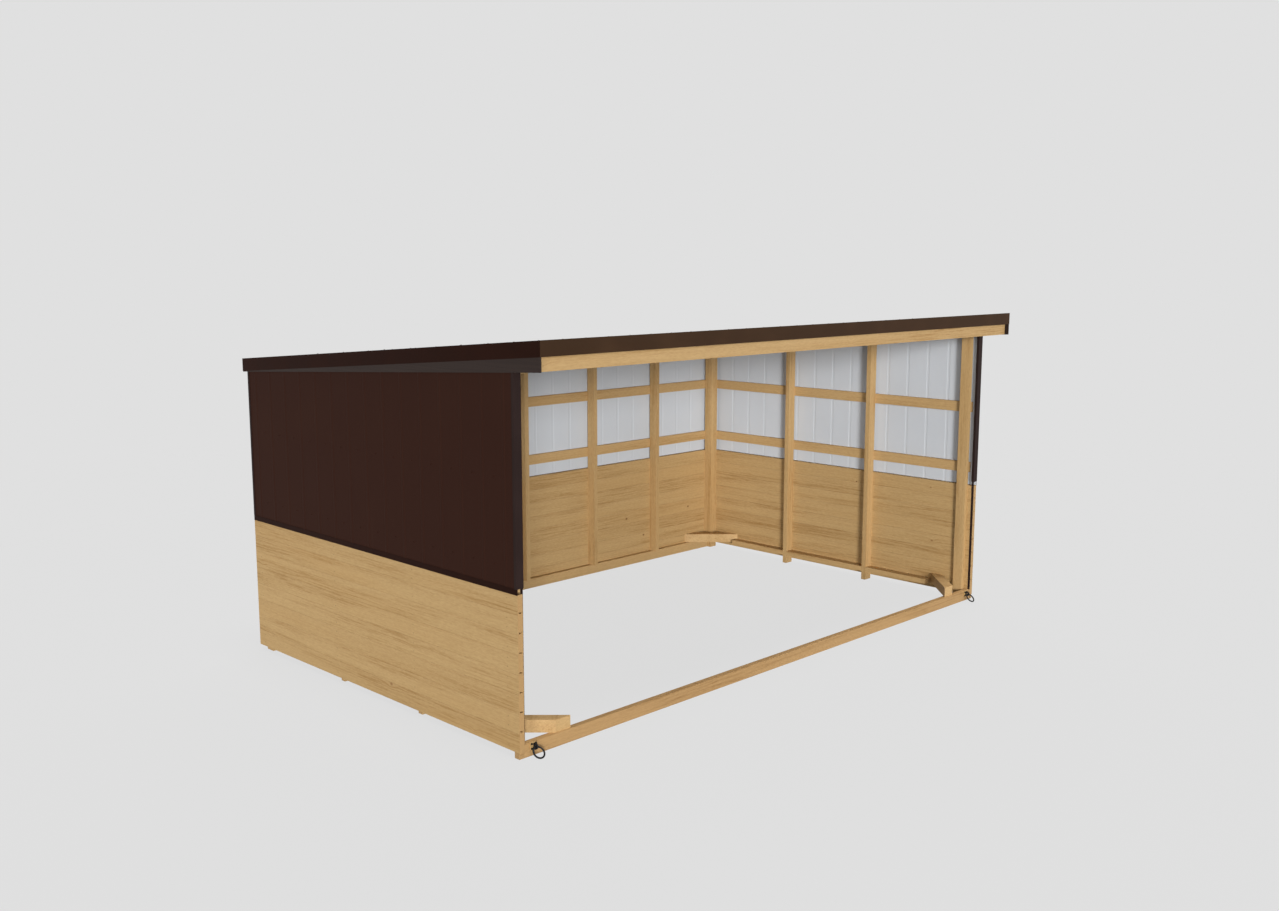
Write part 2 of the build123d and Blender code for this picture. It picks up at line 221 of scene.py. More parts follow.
def linear(colour):
    """Scene linear colour with alpha, from 0 to 255 values as a picture shows them."""
    shares = [c / 255 for c in colour]
    return tuple(s / 12.92 if s <= 0.04045 else ((s + 0.055) / 1.055) ** 2.4 for s in shares) + (1.0,)


class Number:
    """A number or vector coming out of a shader node, with Python's arithmetic."""

    def __init__(self, shader, socket):
        self.shader = shader
        self.socket = socket

    def maths(self, operation, *others):
        values = dict(enumerate((self, *others)))
        return self.shader.add("ShaderNodeMath", {"operation": operation}, values)

    def __add__(self, other):
        return self.maths("ADD", other)

    def __sub__(self, other):
        return self.maths("SUBTRACT", other)

    def __mul__(self, other):
        return self.maths("MULTIPLY", other)

    def __truediv__(self, other):
        return self.maths("DIVIDE", other)

    def __pow__(self, other):
        return self.maths("POWER", other)

    def __gt__(self, other):
        return self.maths("GREATER_THAN", other)

    def __abs__(self):
        return self.maths("ABSOLUTE")

    def __rsub__(self, other):
        return (self * -1.0) + other

    __radd__ = __add__
    __rmul__ = __mul__

    def floor(self):
        return self.maths("FLOOR")

    def step(self, low, high):
        """0 below low, 1 above high, and smooth between them."""
        limits = {"Value": self, "From Min": low, "From Max": high}
        return self.shader.add("ShaderNodeMapRange", {"interpolation_type": "SMOOTHSTEP"}, limits)

    def beside(self, *outputs):
        """Other outputs of the node that this one comes from."""
        return [Number(self.shader, self.socket.node.outputs[output]) for output in outputs]


class Shader:
    """A node tree of a material or the world, under construction."""

    def __init__(self, owner):
        owner.use_nodes = True
        self.owner = owner
        self.tree = owner.node_tree
        self.tree.nodes.clear()

    def add(self, kind, settings=None, values=None, output=0):
        """Adds one node: its settings first, then the values or links of its sockets."""
        node = self.tree.nodes.new(kind)
        for key, value in (settings or {}).items():
            setattr(node, key, value)
        for key, value in (values or {}).items():
            socket = node.inputs[key]
            if isinstance(value, Number):
                self.tree.links.new(value.socket, socket)
            else:
                socket.default_value = value
        return Number(self, node.outputs[output])

    def place(self):
        """The point on the surface, in the object's own metres."""
        return self.add("ShaderNodeTexCoord", output="Object")

    def normal(self):
        return self.add("ShaderNodeNewGeometry", output="Normal")

    def split(self, vector):
        """The three components of a vector."""
        return self.add("ShaderNodeSeparateXYZ", values={0: vector}).beside(0, 1, 2)

    def vector(self, x, y, z):
        return self.add("ShaderNodeCombineXYZ", values={0: x, 1: y, 2: z})

    def vector_maths(self, operation, *vectors, output=0):
        return self.add("ShaderNodeVectorMath", {"operation": operation}, dict(enumerate(vectors)), output)

    def length(self, vector):
        return self.vector_maths("LENGTH", vector, output="Value")

    def noise(self, vector, scale=1.0, detail=2.0, roughness=0.5):
        values = {"Vector": vector, "Scale": scale, "Detail": detail, "Roughness": roughness}
        return self.add("ShaderNodeTexNoise", {"noise_dimensions": "3D"}, values)

    def blend(self, low, high, factor):
        """Mixes two colours, low where factor is 0 and high where it is 1."""
        # The mix node's sockets share their names between data types, so the colour ones go by number
        sockets = {0: factor, 6: low, 7: high}
        return self.add("ShaderNodeMix", {"data_type": "RGBA"}, sockets, output=2)

    def bump(self, height, distance, strength=0.5):
        values = {"Height": height, "Distance": distance, "Strength": strength}
        return self.add("ShaderNodeBump", values=values)

    def surface(self, **sockets):
        """The main surface shader, with its sockets by name, linked to the output."""
        values = {key.replace("_", " "): value for key, value in sockets.items()}
        self.finish(self.add("ShaderNodeBsdfPrincipled", values=values))
        return self.owner

    def finish(self, shader_out):
        is_world = isinstance(self.owner, bpy.types.World)
        node = self.tree.nodes.new("ShaderNodeOutputWorld" if is_world else "ShaderNodeOutputMaterial")
        self.tree.links.new(shader_out.socket, node.inputs["Surface"])


def knots(shader, along, across, into):
    """Masks of the knots, of their dark rims and of the grain's swirl round them."""
    place = shader.vector(along * KNOT_CELLS[0], across * KNOT_CELLS[1], into * KNOT_CELLS[2])
    cells = shader.add(
        "ShaderNodeTexVoronoi", {"voronoi_dimensions": "3D"}, {"Vector": place, "Scale": 1.0},
    )
    heart, tint = cells.beside("Position", "Color")
    chance, size, _ = shader.split(tint)
    offset = shader.vector_maths("SUBTRACT", place, heart)
    reach = shader.length(shader.vector_maths("DIVIDE", offset, KNOT_MEASURE))
    radius = size * KNOT_RADIUS_SPREAD + KNOT_LEAST_RADIUS
    present = chance > KNOT_ABSENT
    knot = (1.0 - (reach / radius).step(*KNOT_EDGES)) * present
    rim = (1.0 - abs(reach / radius - 1.0).step(*KNOT_RIM_EDGES)) * present
    swirl = (1.0 - (reach / (radius * KNOT_SWIRL)).step(0.0, 1.0)) * present
    return knot, rim, swirl


def timber(name, grain, pale, deep, board_rows=None, turn=0.0):
    """Softwood whose grain runs along x, y or z, or turned about z for the corner braces.

    board_rows is the lowest board's lower edge and the boards' cover, where boards are stacked.
    """
    shader = Shader(bpy.data.materials.new(name))
    x, y, z = shader.split(shader.place())
    if turn:
        # The two braces mirror each other, so one turn about z serves both
        values = {"Vector": shader.vector(abs(x), y, z), "Angle": turn}
        x, y, z = shader.split(shader.add("ShaderNodeVectorRotate", {"rotation_type": "Z_AXIS"}, values))
    along, across, into = {"x": (x, z, y), "y": (y, z, x), "z": (z, x, y)}[grain]
    row_tone = 0.5
    if board_rows:
        low, cover = board_rows
        row = ((z - low) / cover).floor()
        values = {"W": row * ROW_STEP + ROW_START}
        row_tone = shader.add("ShaderNodeTexWhiteNoise", {"noise_dimensions": "1D"}, values)
        along = along + row_tone * ROW_SHIFT

    def figure(crossing, repeats, detail=1.0, roughness=0.5):
        place = shader.vector(along * repeats[0], crossing * repeats[1], into * repeats[2])
        return shader.noise(place, detail=detail, roughness=roughness)

    # Streaks that bend round the knots, over broad bands
    knot, rim, swirl = knots(shader, along, across, into)
    drift = figure(across, DRIFT)
    bent = across + (drift - 0.5) * WAVER + swirl * WAVER
    banded = figure(bent, BAND).step(*BAND_EDGES)
    streak = figure(bent, STREAK, detail=2.0, roughness=0.6)
    fibre = figure(bent, FIBRE, detail=2.0)
    late_wood = (1.0 - abs(figure(bent, YEAR_RING) - 0.5) * LATE_WOOD_SHARPNESS).maths("MAXIMUM", 0.0)
    in_band = banded * STREAK_IN_BAND + STREAK_LEAST
    unbroken = figure(bent, BREAK) * STREAK_UNBROKEN + STREAK_LEAST
    streak_mark = streak.step(*STREAK_EDGES) * in_band * unbroken

    # The colour, from pale to deep, then the warm patches and the knots
    depth = streak_mark * STREAK_DEPTH + banded * BAND_DEPTH + late_wood * LATE_WOOD_DEPTH
    depth = depth + (row_tone - 0.5) * ROW_DEPTH + (fibre - 0.5) * FIBRE_DEPTH
    depth = depth + (figure(bent, MOTTLE) - 0.5) * MOTTLE_DEPTH + BASE_DEPTH
    colour = shader.blend(linear(pale), linear(deep), depth)
    warm = figure(across, WARMTH).step(*WARM_EDGES)
    colour = shader.blend(colour, linear(WARM_PATCH), warm * WARM_SHARE)
    colour = shader.blend(colour, linear(KNOT_RIM), rim * KNOT_RIM_SHARE)
    colour = shader.blend(colour, linear(KNOT_BROWN), knot * KNOT_SHARE)

    if not turn:
        facing = shader.split(shader.normal())["xyz".index(grain)]
        heart_reach = shader.length(shader.vector(0.0, across + HEART_ACROSS, into + HEART_INTO))
        wave = (heart_reach * END_RING_WAVES + drift * END_RING_WAVER).maths("SINE")
        end_ring = wave.step(*END_RING_EDGES) * END_RING_SHARE
        sawn = shader.blend(linear(END_GRAIN), linear(END_GRAIN_RING), end_ring)
        colour = shader.blend(colour, sawn, abs(facing).step(*END_FACE_EDGES))

    height = (fibre * 0.5 + streak * 0.5) * (1.0 - knot) - rim * 0.3
    return shader.surface(
        Base_Color=colour, Roughness=fibre * 0.12 + streak_mark * 0.08 + 0.56,
        Normal=shader.bump(height, GRAIN_RELIEF, 0.6), Specular_IOR_Level=0.28,
    )


def coating_texture(shader):
    """Very fine orange peel of a baked coating."""
    return shader.bump(shader.noise(shader.place(), scale=ORANGE_PEEL, detail=1.0), PEEL_RELIEF)


def coated_sheet(name, inward):
    """Brown coating outside and pale grey primer on the faces that look inward."""
    shader = Shader(bpy.data.materials.new(name))
    place = shader.place()
    facing = shader.vector_maths("DOT_PRODUCT", shader.normal(), inward, output="Value")
    inside = facing > INWARD_LEAST
    cloud = shader.noise(place, scale=1.7, detail=3.0)
    rain = shader.noise(shader.vector_maths("MULTIPLY", place, RAIN_MARKS), detail=2.0)
    brown = shader.blend(linear(SHEET_BROWN), linear(SHEET_BROWN_CLOUD), cloud.step(0.45, 0.8) * 0.35)
    brown = shader.blend(brown, linear(SHEET_RAIN_MARK), rain.step(0.62, 0.85) * 0.12)
    grey = shader.blend(linear(SHEET_GREY), linear(SHEET_GREY_CLOUD), cloud.step(0.35, 0.7) * 0.4)
    return shader.surface(
        Base_Color=shader.blend(brown, grey, inside), Roughness=inside * 0.12 + cloud * 0.1 + 0.55,
        Normal=coating_texture(shader), Specular_IOR_Level=0.04,
    )


def coated_steel(name, tone, roughness=0.40):
    """Plain dark coating of the flashings and screws."""
    shader = Shader(bpy.data.materials.new(name))
    cloud = shader.noise(shader.place(), scale=3.1, detail=3.0)
    brighter = tuple(min(255, c * 1.16 + 3) for c in tone)
    return shader.surface(
        Base_Color=shader.blend(linear(tone), linear(brighter), cloud.step(0.4, 0.75) * 0.5),
        Roughness=cloud * 0.14 + roughness, Normal=coating_texture(shader), Specular_IOR_Level=0.04,
    )


def stained_board(name):
    """Dark stained softwood of the verge boards, the grain still showing."""
    shader = Shader(bpy.data.materials.new(name))
    streak = shader.noise(shader.vector_maths("MULTIPLY", shader.place(), STAIN_STREAK), detail=3.0)
    return shader.surface(
        Base_Color=shader.blend(linear(DARK_BOARD), linear(DARK_BOARD_STREAK), streak.step(0.35, 0.7)),
        Roughness=streak * 0.15 + 0.5, Normal=shader.bump(streak, GRAIN_RELIEF), Specular_IOR_Level=0.25,
    )


def black_steel(name, plate_front):
    """Black painted steel, a little worn; the eyes' plates behind plate_front are yellow zinc."""
    shader = Shader(bpy.data.materials.new(name))
    place = shader.place()
    wear = shader.noise(place, scale=95.0, detail=4.0)
    peel = shader.noise(place, scale=1400.0, detail=2.0)
    bare = wear.step(0.70, 0.78)
    plate = shader.split(place)[1] > plate_front - PLATE_EDGE
    colour = shader.blend(linear(STEEL_BLACK), linear(STEEL_WORN), bare)
    return shader.surface(
        Base_Color=shader.blend(colour, linear(PLATE_YELLOW), plate), Metallic=bare * 0.5,
        Roughness=wear * 0.3 + 0.4, Normal=shader.bump(peel, PAINT_RELIEF), Specular_IOR_Level=0.2,
    )


def zinc(name, tone):
    """Yellow passivated zinc of the timber screws."""
    shader = Shader(bpy.data.materials.new(name))
    cloud = shader.noise(shader.place(), scale=260.0, detail=2.0)
    duller = tuple(c * 0.8 for c in tone)
    colour = shader.blend(linear(tone), linear(duller), cloud.step(0.4, 0.7))
    return shader.surface(Base_Color=colour, Metallic=0.6, Roughness=cloud * 0.2 + 0.3)


def node_box(node):
    """Lowest and highest corner of a node, as vectors."""
    low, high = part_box(node)
    return Vector(low), Vector(high)


left_low, left_high = node_box("left_board_wall")
back_high = node_box("back_board_wall")[1]
board_rows = (left_low.z, (left_high.z - left_low.z) / BOARD_COUNT)
plate_front = node_box("left_tow_eye")[1].y - EYE_PLATE_THICKNESS
eighth_turn = math.radians(45)

material = {
    "boards_y": timber("pine_boards_side", "y", BOARD_PALE, BOARD_DEEP, board_rows),
    "boards_x": timber("pine_boards_back", "x", BOARD_PALE, BOARD_DEEP, board_rows),
    "timber_x": timber("sawn_pine_long", "x", TIMBER_PALE, TIMBER_DEEP),
    # Painted shade: a darker copy of the sawn pine for the ground beam, against the extra light on its
    # front
    "beam_x_painted_shade": timber("sawn_pine_beam_painted_shade", "x", BEAM_PALE_PAINTED_SHADE, BEAM_DEEP_PAINTED_SHADE),
    "timber_y": timber("sawn_pine_deep", "y", TIMBER_PALE, TIMBER_DEEP),
    "timber_z": timber("sawn_pine_upright", "z", TIMBER_PALE, TIMBER_DEEP),
    "brace_front": timber("sawn_pine_brace_front", "x", TIMBER_PALE, TIMBER_DEEP, turn=eighth_turn),
    "brace_back": timber("sawn_pine_brace_back", "x", TIMBER_PALE, TIMBER_DEEP, turn=-eighth_turn),
    "sheet_left": coated_sheet("coated_sheet_left", (1.0, 0.0, 0.0)),
    "sheet_right": coated_sheet("coated_sheet_right", (-1.0, 0.0, 0.0)),
    "sheet_back": coated_sheet("coated_sheet_back", (0.0, -1.0, 0.0)),
    "sheet_roof": coated_sheet("coated_sheet_roof", (0.0, 0.0, -1.0)),
    "fascia": coated_steel("fascia_coating", FASCIA_BROWN),
    "verge": coated_steel("verge_coating", VERGE_BROWN),
    "corner": coated_steel("corner_coating", CORNER_BROWN),
    "screw_brown": coated_steel("screw_coating", SHEET_BROWN, roughness=0.30),
    "dark_board": stained_board("stained_verge_board"),
    "black_steel": black_steel("black_painted_steel", plate_front),
    "zinc": zinc("yellow_zinc", ZINC_YELLOW),
}

NODE_FINISH = {
    "timber_z": [
        "left_front_post", "right_front_post", "left_corner_post", "right_corner_post",
        "left_studs", "right_studs", "back_studs",
    ],
    "timber_y": ["left_girts", "right_girts", "left_sill", "right_sill", "rafters"],
    "timber_x": ["back_girts", "back_sill", "front_header", "front_beam", "purlins"],
    # painted shade: the ground beam takes the darker copy of the pine
    "beam_x_painted_shade": ["front_ground_beam"],
    "brace_front": ["front_corner_braces"],
    "brace_back": ["back_corner_braces"],
    "boards_y": ["left_board_wall", "right_board_wall"],
    "boards_x": ["back_board_wall"],
    "sheet_left": ["left_cladding"],
    "sheet_right": ["right_cladding"],
    "sheet_back": ["back_cladding"],
    "sheet_roof": ["roof_sheet"],
    "fascia": ["front_edge_trim", "back_edge_trim"],
    "verge": [
        "left_verge_trim", "right_verge_trim", "left_drip_trim", "right_drip_trim", "back_drip_trim",
    ],
    "corner": ["left_front_corner_trim", "right_front_corner_trim", "back_corner_trims"],
    "dark_board": ["left_verge_board", "right_verge_board"],
    "black_steel": ["left_tow_eye", "right_tow_eye", "left_tow_ring", "right_tow_ring"],
}
for finish, nodes in NODE_FINISH.items():
    for node in nodes:
        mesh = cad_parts[node].data
        mesh.materials.clear()
        mesh.materials.append(material[finish])


def add_piece(name, mesh_maker, finish):
    """Makes a mesh object from a bmesh function, with its material."""
    mesh = bpy.data.meshes.new(name)
    shape = bmesh.new()
    mesh_maker(shape)
    bmesh.ops.recalc_face_normals(shape, faces=shape.faces)
    shape.to_mesh(mesh)
    shape.free()
    mesh.materials.append(material[finish])
    piece = bpy.data.objects.new(name, mesh)
    bpy.context.scene.collection.objects.link(piece)
    return piece


def board_profile(thickness, cover, has_groove, has_tongue):
    """Section of one board, (depth, height) points, with v chamfers, tongue and groove."""
    half_tongue = TONGUE_WIDTH / 2
    half_groove = half_tongue + JOINT_GAP
    middle = thickness / 2
    top = cover - JOINT_GAP
    slot_top = TONGUE_HEIGHT + GROOVE_CLEARANCE
    points = [(0.0, JOINT_CHAMFER), (JOINT_CHAMFER, 0.0)]
    if has_groove:
        points += [
            (middle - half_groove, 0.0), (middle - half_groove, slot_top),
            (middle + half_groove, slot_top), (middle + half_groove, 0.0),
        ]
    points += [
        (thickness - JOINT_CHAMFER, 0.0), (thickness, JOINT_CHAMFER),
        (thickness, top - JOINT_CHAMFER), (thickness - JOINT_CHAMFER, top),
    ]
    if has_tongue:
        points += [
            (middle + half_tongue, top), (middle + half_tongue, top + TONGUE_HEIGHT),
            (middle - half_tongue, top + TONGUE_HEIGHT), (middle - half_tongue, top),
        ]
    points += [(JOINT_CHAMFER, top), (0.0, top - JOINT_CHAMFER)]
    return points


def boarded_wall(node, along_axis, finish, seed):
    """Separate tongue and groove boards in place of a boarded wall's single solid."""
    low, high = node_box(node)
    across_axis = 1 - along_axis
    thickness = high[across_axis] - low[across_axis]
    cover = (high.z - low.z) / BOARD_COUNT
    draw = random.Random(seed)

    def fill(shape):
        for row in range(BOARD_COUNT):
            ends = (
                low[along_axis] + draw.uniform(0, BOARD_END_SPREAD),
                high[along_axis] - draw.uniform(0, BOARD_END_SPREAD),
            )
            profile = board_profile(thickness, cover, row > 0, row < BOARD_COUNT - 1)
            rings = []
            for end in ends:
                ring = []
                for depth, height in profile:
                    point = [0.0, 0.0, low.z + cover * row + height]
                    point[along_axis] = end
                    point[across_axis] = low[across_axis] + depth
                    ring.append(shape.verts.new(point))
                rings.append(ring)
            first, last = rings
            for k in range(len(profile)):
                after = (k + 1) % len(profile)
                shape.faces.new((first[k], first[after], last[after], last[k]))
            shape.faces.new(first)
            shape.faces.new(last)

    piece = add_piece(node + "_boards", fill, finish)
    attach(piece, "shed")
    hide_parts(node)


boarded_wall("left_board_wall", ALONG_Y, "boards_y", seed=11)
boarded_wall("right_board_wall", ALONG_Y, "boards_y", seed=12)
boarded_wall("back_board_wall", ALONG_X, "boards_x", seed=13)


def fixing_tree():
    """Geometry nodes that put a headed fixing on every point, facing one way."""
    tree = bpy.data.node_groups.new("fixings", "GeometryNodeTree")
    face = tree.interface
    face.new_socket("Geometry", in_out="INPUT", socket_type="NodeSocketGeometry")
    for label, size in SHEET_SCREW.items():
        face.new_socket(label, in_out="INPUT", socket_type="NodeSocketFloat").default_value = size
    face.new_socket("Head Sides", in_out="INPUT", socket_type="NodeSocketInt").default_value = HEXAGON
    face.new_socket("Facing", in_out="INPUT", socket_type="NodeSocketVector")
    face.new_socket("Finish", in_out="INPUT", socket_type="NodeSocketMaterial")
    face.new_socket("Geometry", in_out="OUTPUT", socket_type="NodeSocketGeometry")

    def add(kind, settings=None, links=None):
        node = tree.nodes.new(kind)
        for key, value in (settings or {}).items():
            setattr(node, key, value)
        for key, value in (links or {}).items():
            if isinstance(value, bpy.types.NodeSocket):
                tree.links.new(value, node.inputs[key])
            else:
                node.inputs[key].default_value = value
        return node

    given = tree.nodes.new("NodeGroupInput").outputs

    def disc(sides, radius, height, base):
        """A short cylinder standing on base."""
        sizes = {"Vertices": sides, "Radius": radius, "Depth": height}
        body = add("GeometryNodeMeshCylinder", links=sizes)
        half = add("ShaderNodeMath", {"operation": "MULTIPLY"}, {0: height, 1: 0.5})
        middle = add("ShaderNodeMath", {"operation": "ADD"}, {0: half.outputs[0], 1: base})
        lift = add("ShaderNodeCombineXYZ", links={"Z": middle.outputs[0]})
        moves = {"Geometry": body.outputs["Mesh"], "Translation": lift.outputs[0]}
        return add("GeometryNodeTransform", links=moves).outputs["Geometry"]

    washer = disc(WASHER_SIDES, given["Washer Radius"], given["Washer Height"], 0.0)
    head = disc(given["Head Sides"], given["Head Radius"], given["Head Height"], given["Washer Height"])
    both = add("GeometryNodeJoinGeometry")
    tree.links.new(washer, both.inputs[0])
    tree.links.new(head, both.inputs[0])
    points = add("GeometryNodeMeshToPoints", links={"Mesh": given["Geometry"]})
    placed = add("GeometryNodeInstanceOnPoints", links={
        "Points": points.outputs[0], "Instance": both.outputs[0], "Rotation": given["Facing"],
    })
    # Input 3 is the upper limit of a random float
    limits = {3: 2 * math.pi, "Seed": SCREW_TURN_SEED}
    spin = add("FunctionNodeRandomValue", {"data_type": "FLOAT"}, limits)
    turn = add("ShaderNodeCombineXYZ", links={"Z": spin.outputs[1]})
    spun = add("GeometryNodeRotateInstances", links={
        "Instances": placed.outputs[0], "Rotation": turn.outputs[0], "Local Space": True,
    })
    real = add("GeometryNodeRealizeInstances", links={"Geometry": spun.outputs[0]})
    dressed = add("GeometryNodeSetMaterial", links={
        "Geometry": real.outputs[0], "Material": given["Finish"],
    })
    out = tree.nodes.new("NodeGroupOutput")
    tree.links.new(dressed.outputs[0], out.inputs[0])
    return tree


FIXINGS = fixing_tree()


def fixings(name, points, facing, finish, sizes, sides=HEXAGON):
    """Screws or bolts at a list of points, all facing one way, as one piece."""
    mesh = bpy.data.meshes.new(name + "_points")
    mesh.from_pydata([tuple(p) for p in points], [], [])
    holder = bpy.data.objects.new(name + "_points", mesh)
    bpy.context.scene.collection.objects.link(holder)
    modifier = holder.modifiers.new("fixings", "NODES")
    modifier.node_group = FIXINGS
    inputs = [item for item in FIXINGS.interface.items_tree if item.in_out == "INPUT"]
    keys = {item.name: item.identifier for item in inputs}
    for label, value in sizes.items():
        modifier[keys[label]] = value
    modifier[keys["Head Sides"]] = sides
    modifier[keys["Facing"]] = Vector(facing).to_track_quat("Z", "Y").to_euler()[:]
    modifier[keys["Finish"]] = material[finish]
    depsgraph = bpy.context.evaluated_depsgraph_get()
    made = bpy.data.meshes.new_from_object(holder.evaluated_get(depsgraph), depsgraph=depsgraph)
    holder.modifiers.clear()
    bpy.data.objects.remove(holder)
    piece = bpy.data.objects.new(name, made)
    bpy.context.scene.collection.objects.link(piece)
    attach(piece, "shed")


def rib_middles(start, end, rib_foot):
    """Middles of a sheet's ribs, which stand evenly about the sheet's own middle."""
    count = int((end - start - rib_foot) / RIB_PITCH) + 1
    first = (start + end) / 2 - RIB_PITCH * (count - 1) / 2
    return [first + RIB_PITCH * k for k in range(count)]


def pan_middles(start, end, rib_foot):
    """Middles of the flat pans between a sheet's ribs."""
    return [middle + RIB_PITCH / 2 for middle in rib_middles(start, end, rib_foot)[:-1]]


def girt_rows(girts_low, girts_high):
    """Heights of the middles of the two girts of a wall."""
    return (girts_low.z + TIMBER_WIDE / 2, girts_high.z - TIMBER_WIDE / 2)


# Sheet screws through the pans into the girts
for side, word in ((-1, "left"), (1, "right")):
    sheet_low, sheet_high = node_box(word + "_cladding")
    girts_low, girts_high = node_box(word + "_girts")
    face_x = side * (max(abs(girts_low.x), abs(girts_high.x)) + SHEET_GAUGE)
    places = [
        (face_x, y, z) for z in girt_rows(girts_low, girts_high)
        for y in pan_middles(sheet_low.y, sheet_high.y, WALL_RIB_FOOT)
    ]
    fixings(word + "_sheet_screws", places, (side, 0, 0), "screw_brown", SHEET_SCREW)
sheet_low, sheet_high = node_box("back_cladding")
girts_low, girts_high = node_box("back_girts")
places = [
    (x, girts_high.y + SHEET_GAUGE, z) for z in girt_rows(girts_low, girts_high)
    for x in pan_middles(sheet_low.x, sheet_high.x, WALL_RIB_FOOT)
]
fixings("back_sheet_screws", places, (0, 1, 0), "screw_brown", SHEET_SCREW)

# Roof screws through the rib crests into the purlins, except the first and the last,
# which the edge trims cover
roof_low, roof_high = node_box("roof_sheet")
purlins_low, purlins_high = node_box("purlins")
fall = math.tan(math.radians(ROOF_SLOPE))
level = math.cos(math.radians(ROOF_SLOPE))
first_row = purlins_low.y + TIMBER_WIDE / 2
row_step = (purlins_high.y - purlins_low.y - TIMBER_WIDE) / (PURLIN_COUNT - 1)
places = []
for k in range(1, PURLIN_COUNT - 1):
    y = first_row + row_step * k
    crest_z = roof_high.z - (y - roof_low.y) * fall
    places += [(x, y, crest_z) for x in rib_middles(roof_low.x, roof_high.x, ROOF_RIB_FOOT)]
roof_up = (0, fall * level, level)
fixings("roof_screws", places, roof_up, "screw_brown", ROOF_SCREW)

# Countersunk screws through the boards into the posts and studs
bottom, cover = board_rows
heights = [bottom + cover * (row + share) for row in range(BOARD_COUNT) for share in BOARD_SCREW_SHARES]
for side, word in ((-1, "left"), (1, "right")):
    low, high = node_box(word + "_board_wall")
    face_x = low.x if side < 0 else high.x
    uprights = []
    for node in (word + "_front_post", word + "_corner_post"):
        node_low, node_high = node_box(node)
        uprights.append((node_low.y + node_high.y) / 2)
    studs_low, studs_high = node_box(word + "_studs")
    uprights += [studs_low.y + TIMBER_NARROW / 2, studs_high.y - TIMBER_NARROW / 2]
    places = [(face_x, y, z) for y in uprights for z in heights]
    fixings(
        word + "_board_screws", places, (side, 0, 0), "zinc", TIMBER_SCREW,
        sides=ROUND_HEAD_SIDES,
    )
studs_low, studs_high = node_box("back_studs")
stud_step = (studs_high.x - studs_low.x - TIMBER_NARROW) / (BACK_STUD_COUNT - 1)
first_stud = studs_low.x + TIMBER_NARROW / 2
uprights = [first_stud + stud_step * k for k in range(-1, BACK_STUD_COUNT + 1)]
places = [(x, back_high.y, z) for x in uprights for z in heights]
fixings(
    "back_board_screws", places, (0, 1, 0), "zinc", TIMBER_SCREW, sides=ROUND_HEAD_SIDES,
)

# Bolts of the towing eyes
for word in ("left", "right"):
    eye_low, eye_high = node_box(word + "_tow_eye")
    middle = (eye_low + eye_high) / 2
    places = [
        (middle.x + along * BOLT_SPREAD[0], plate_front, middle.z + up * BOLT_SPREAD[1])
        for along in (-1, 1) for up in (-1, 1)
    ]
    fixings(word + "_eye_bolts", places, (0, -1, 0), "black_steel", EYE_BOLT)


def smooth_ring(word):
    """A towing ring with a smooth round wire, in place of the plainer ring."""
    low, high = node_box(word + "_tow_ring")
    centre = (low + high) / 2
    wire = RING_WIRE / 2
    radius = RING_OUTER / 2 - wire
    lean = math.radians(RING_LEAN)
    down = Vector((0, -math.sin(lean), -math.cos(lean)))
    normal = Vector((0, math.cos(lean), -math.sin(lean)))

    def fill(shape):
        grid = []
        for k in range(RING_STEPS):
            angle = 2 * math.pi * k / RING_STEPS
            outward = Vector((math.sin(angle), 0, 0)) + down * math.cos(angle)
            circle = []
            for j in range(WIRE_STEPS):
                turn = 2 * math.pi * j / WIRE_STEPS
                point = centre + outward * (radius + wire * math.cos(turn))
                circle.append(shape.verts.new(point + normal * (wire * math.sin(turn))))
            grid.append(circle)
        for k in range(RING_STEPS):
            circle, after = grid[k], grid[(k + 1) % RING_STEPS]
            for j in range(WIRE_STEPS):
                beside = (j + 1) % WIRE_STEPS
                shape.faces.new((circle[j], circle[beside], after[beside], after[j])).smooth = True

    piece = add_piece(word + "_ring_wire", fill, "black_steel")
    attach(piece, word + "_ring")
    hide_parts(word + "_tow_ring")


smooth_ring("left")
smooth_ring("right")

# Camera
camera_data = bpy.data.cameras.new("camera")
camera_data.sensor_width = SENSOR_WIDTH
camera_data.lens = SENSOR_WIDTH * FOCAL_PIXELS / PHOTO_WIDTH
camera = bpy.data.objects.new("camera", camera_data)
camera.location = CAMERA_PLACE
camera.rotation_euler = (math.radians(90 + CAMERA_PITCH), 0, -math.radians(CAMERA_YAW))
bpy.context.scene.collection.objects.link(camera)
bpy.context.scene.camera = camera

# Lamps, azimuth 0 in front of the shed and growing to the right, as seen from the front
for lamp_name, azimuth, elevation, share, width in LAMPS:
    lamp_data = bpy.data.lights.new(lamp_name, "SUN")
    lamp_data.energy = share * math.pi
    lamp_data.angle = math.radians(width)
    lamp = bpy.data.objects.new(lamp_name, lamp_data)
    a = math.radians(azimuth)
    e = math.radians(elevation)
    towards = Vector((math.sin(a) * math.cos(e), -math.cos(a) * math.cos(e), math.sin(e)))
    lamp.rotation_mode = "QUATERNION"
    lamp.rotation_quaternion = towards.to_track_quat("Z", "Y")
    bpy.context.scene.collection.objects.link(lamp)


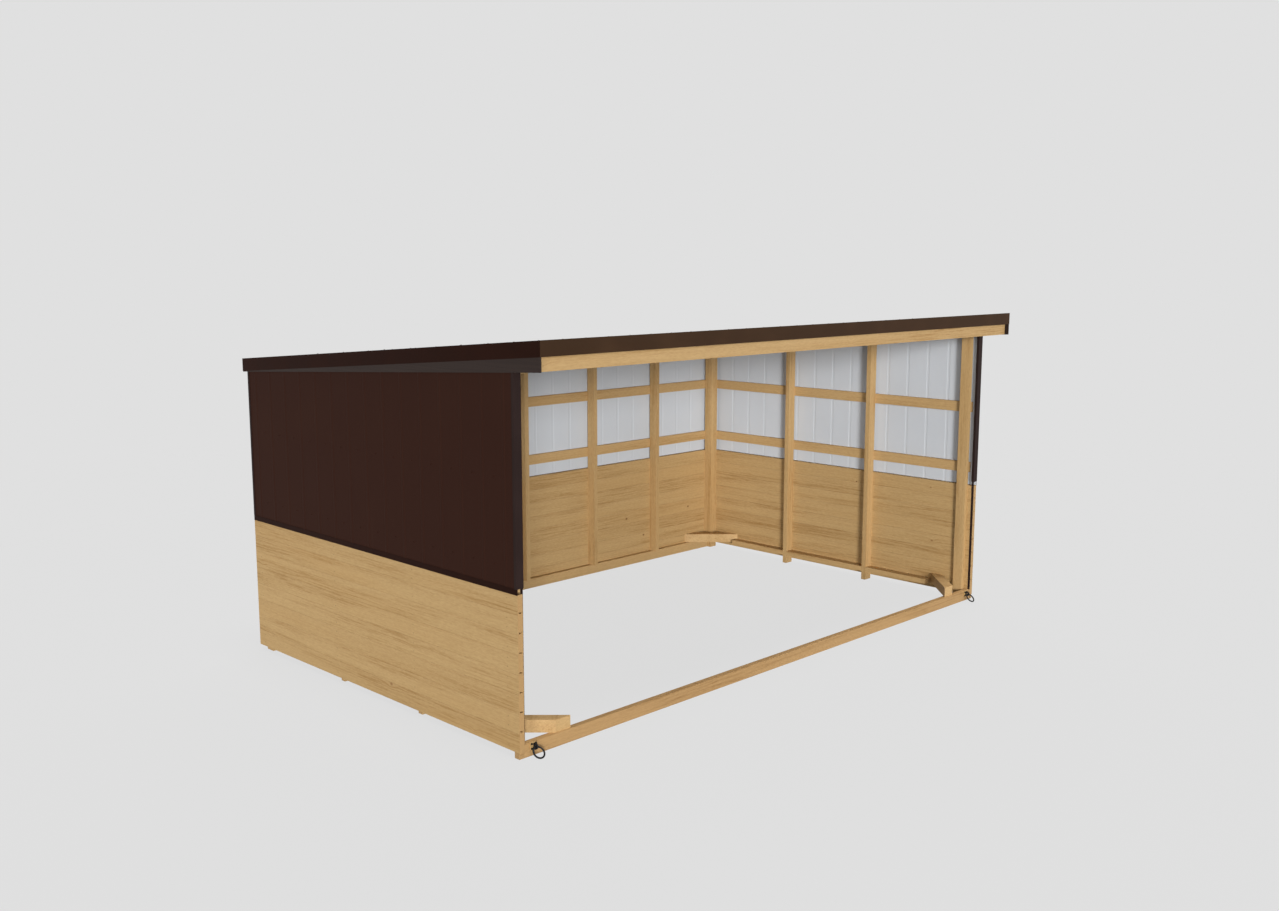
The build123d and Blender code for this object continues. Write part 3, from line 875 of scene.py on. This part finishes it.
def seen_directly(shader):
    """1 where a ray from the camera, a gloss or a clear surface looks, else 0."""
    camera_ray, glossy_ray, clear_ray = shader.add("ShaderNodeLightPath").beside(
        "Is Camera Ray", "Is Glossy Ray", "Is Transmission Ray",
    )
    return camera_ray.maths("MAXIMUM", glossy_ray).maths("MAXIMUM", clear_ray)


def mix_shaders(shader, factor, low, high):
    return shader.add("ShaderNodeMixShader", values={0: factor, 1: low, 2: high})


def make_world():
    """An even sky, seen as the plain background."""
    world = bpy.data.worlds.new("studio")
    shader = Shader(world)
    sky = {"Color": (1.0, 1.0, 1.0, 1.0), "Strength": SKY_LEVEL}
    grey = {"Color": linear(BACKGROUND_GREY), "Strength": 1.0}
    light = shader.add("ShaderNodeBackground", values=sky)
    plain = shader.add("ShaderNodeBackground", values=grey)
    shader.finish(mix_shaders(shader, seen_directly(shader), light, plain))
    bpy.context.scene.world = world


def make_floor():
    """A pale floor that keeps the shed's shadow and fades into the background."""
    shader = Shader(bpy.data.materials.new("pale_floor"))
    white = (FLOOR_WHITENESS, FLOOR_WHITENESS, FLOOR_WHITENESS, 1.0)
    grey = {"Color": linear(BACKGROUND_GREY), "Strength": FLOOR_LIFT}
    lit = shader.add("ShaderNodeBsdfDiffuse", values={"Color": white})
    plain = shader.add("ShaderNodeEmission", values=grey)
    even = mix_shaders(shader, FLOOR_KEEPS, plain, lit)
    near = mix_shaders(shader, seen_directly(shader), lit, even)
    clear = shader.add("ShaderNodeBsdfTransparent")
    x, y, _ = shader.split(shader.place())
    reach = (x * x + y * y) ** 0.5
    shader.finish(mix_shaders(shader, reach.step(*FLOOR_FADE), near, clear))
    mesh = bpy.data.meshes.new("floor")
    h = FLOOR_HALF_WIDTH
    mesh.from_pydata([(-h, -h, 0), (h, -h, 0), (h, h, 0), (-h, h, 0)], [], [(0, 1, 2, 3)])
    mesh.materials.append(shader.owner)
    floor = bpy.data.objects.new("floor", mesh)
    floor.location.z = -FLOOR_DROP
    bpy.context.scene.collection.objects.link(floor)


make_world()
make_floor()
bpy.context.scene.view_settings.view_transform = "Standard"
